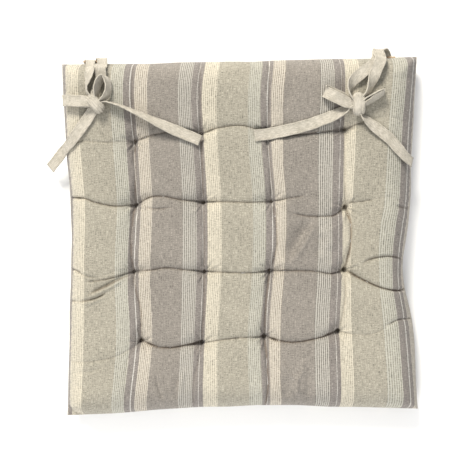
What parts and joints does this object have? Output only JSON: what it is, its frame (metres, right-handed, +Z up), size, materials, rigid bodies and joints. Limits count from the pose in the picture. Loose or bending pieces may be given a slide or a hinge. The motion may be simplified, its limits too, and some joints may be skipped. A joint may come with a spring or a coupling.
{
  "type": "chair seat pad",
  "caption": "Square tufted cushion for a chair seat, two striped cotton panels over a fibre filling, with cotton tape ties knotted in bows at the back corners.",
  "frame": {"origin": "middle of the underside, where the pad lies on a seat, measured without the ties", "axes": "+Z up out of the pad, +Y towards the back edge that carries the ties, +X to the right seen from above with the ties at the far side"},
  "size_m": [0.4221, 0.4113, 0.0615],
  "materials": {
    "top_cloth": "matte",
    "bottom_cloth": "matte",
    "fibre": "matte",
    "thread": "matte",
    "seam_thread": "matte",
    "tape": "matte"
  },
  "bodies": {
    "pad": {"bottom_cover": "bottom_cloth", "edge_seam_thread": "seam_thread", "filling": "fibre", "left_bar_tack": "seam_thread", "left_tie_a_root": "tape", "left_tie_b_root": "tape", "right_bar_tack": "seam_thread", "right_tie_a_root": "tape", "right_tie_b_root": "tape", "top_cover": "top_cloth", "tuft_thread_r1_c1": "thread", "tuft_thread_r1_c2": "thread", "tuft_thread_r1_c3": "thread", "tuft_thread_r1_c4": "thread", "tuft_thread_r2_c1": "thread", "tuft_thread_r2_c2": "thread", "tuft_thread_r2_c3": "thread", "tuft_thread_r2_c4": "thread", "tuft_thread_r3_c1": "thread", "tuft_thread_r3_c2": "thread", "tuft_thread_r3_c3": "thread", "tuft_thread_r3_c4": "thread", "tuft_thread_r4_c1": "thread", "tuft_thread_r4_c2": "thread", "tuft_thread_r4_c3": "thread", "tuft_thread_r4_c4": "thread"},
    "right_bow": {"right_bow_knot": "tape", "right_bow_loop_inner": "tape", "right_bow_loop_outer": "tape", "right_bow_tail_inner": "tape", "right_bow_tail_outer": "tape", "right_tie_a_strand": "tape", "right_tie_b_strand": "tape"},
    "left_bow": {"left_bow_knot": "tape", "left_bow_loop_inner": "tape", "left_bow_loop_outer": "tape", "left_bow_tail_inner": "tape", "left_bow_tail_outer": "tape", "left_tie_a_strand": "tape", "left_tie_b_strand": "tape"}
  },
  "joints": [
    {"name": "right_bow_fold", "type": "hinge", "parent": "pad", "child": "right_bow", "pos_m": [0.164, 0.207, 0.019], "axis": [-1, 0, 0], "range_deg": [0, 145]},
    {"name": "left_bow_fold", "type": "hinge", "parent": "pad", "child": "left_bow", "pos_m": [-0.164, 0.207, 0.019], "axis": [-1, 0, 0], "range_deg": [0, 145]}
  ]
}
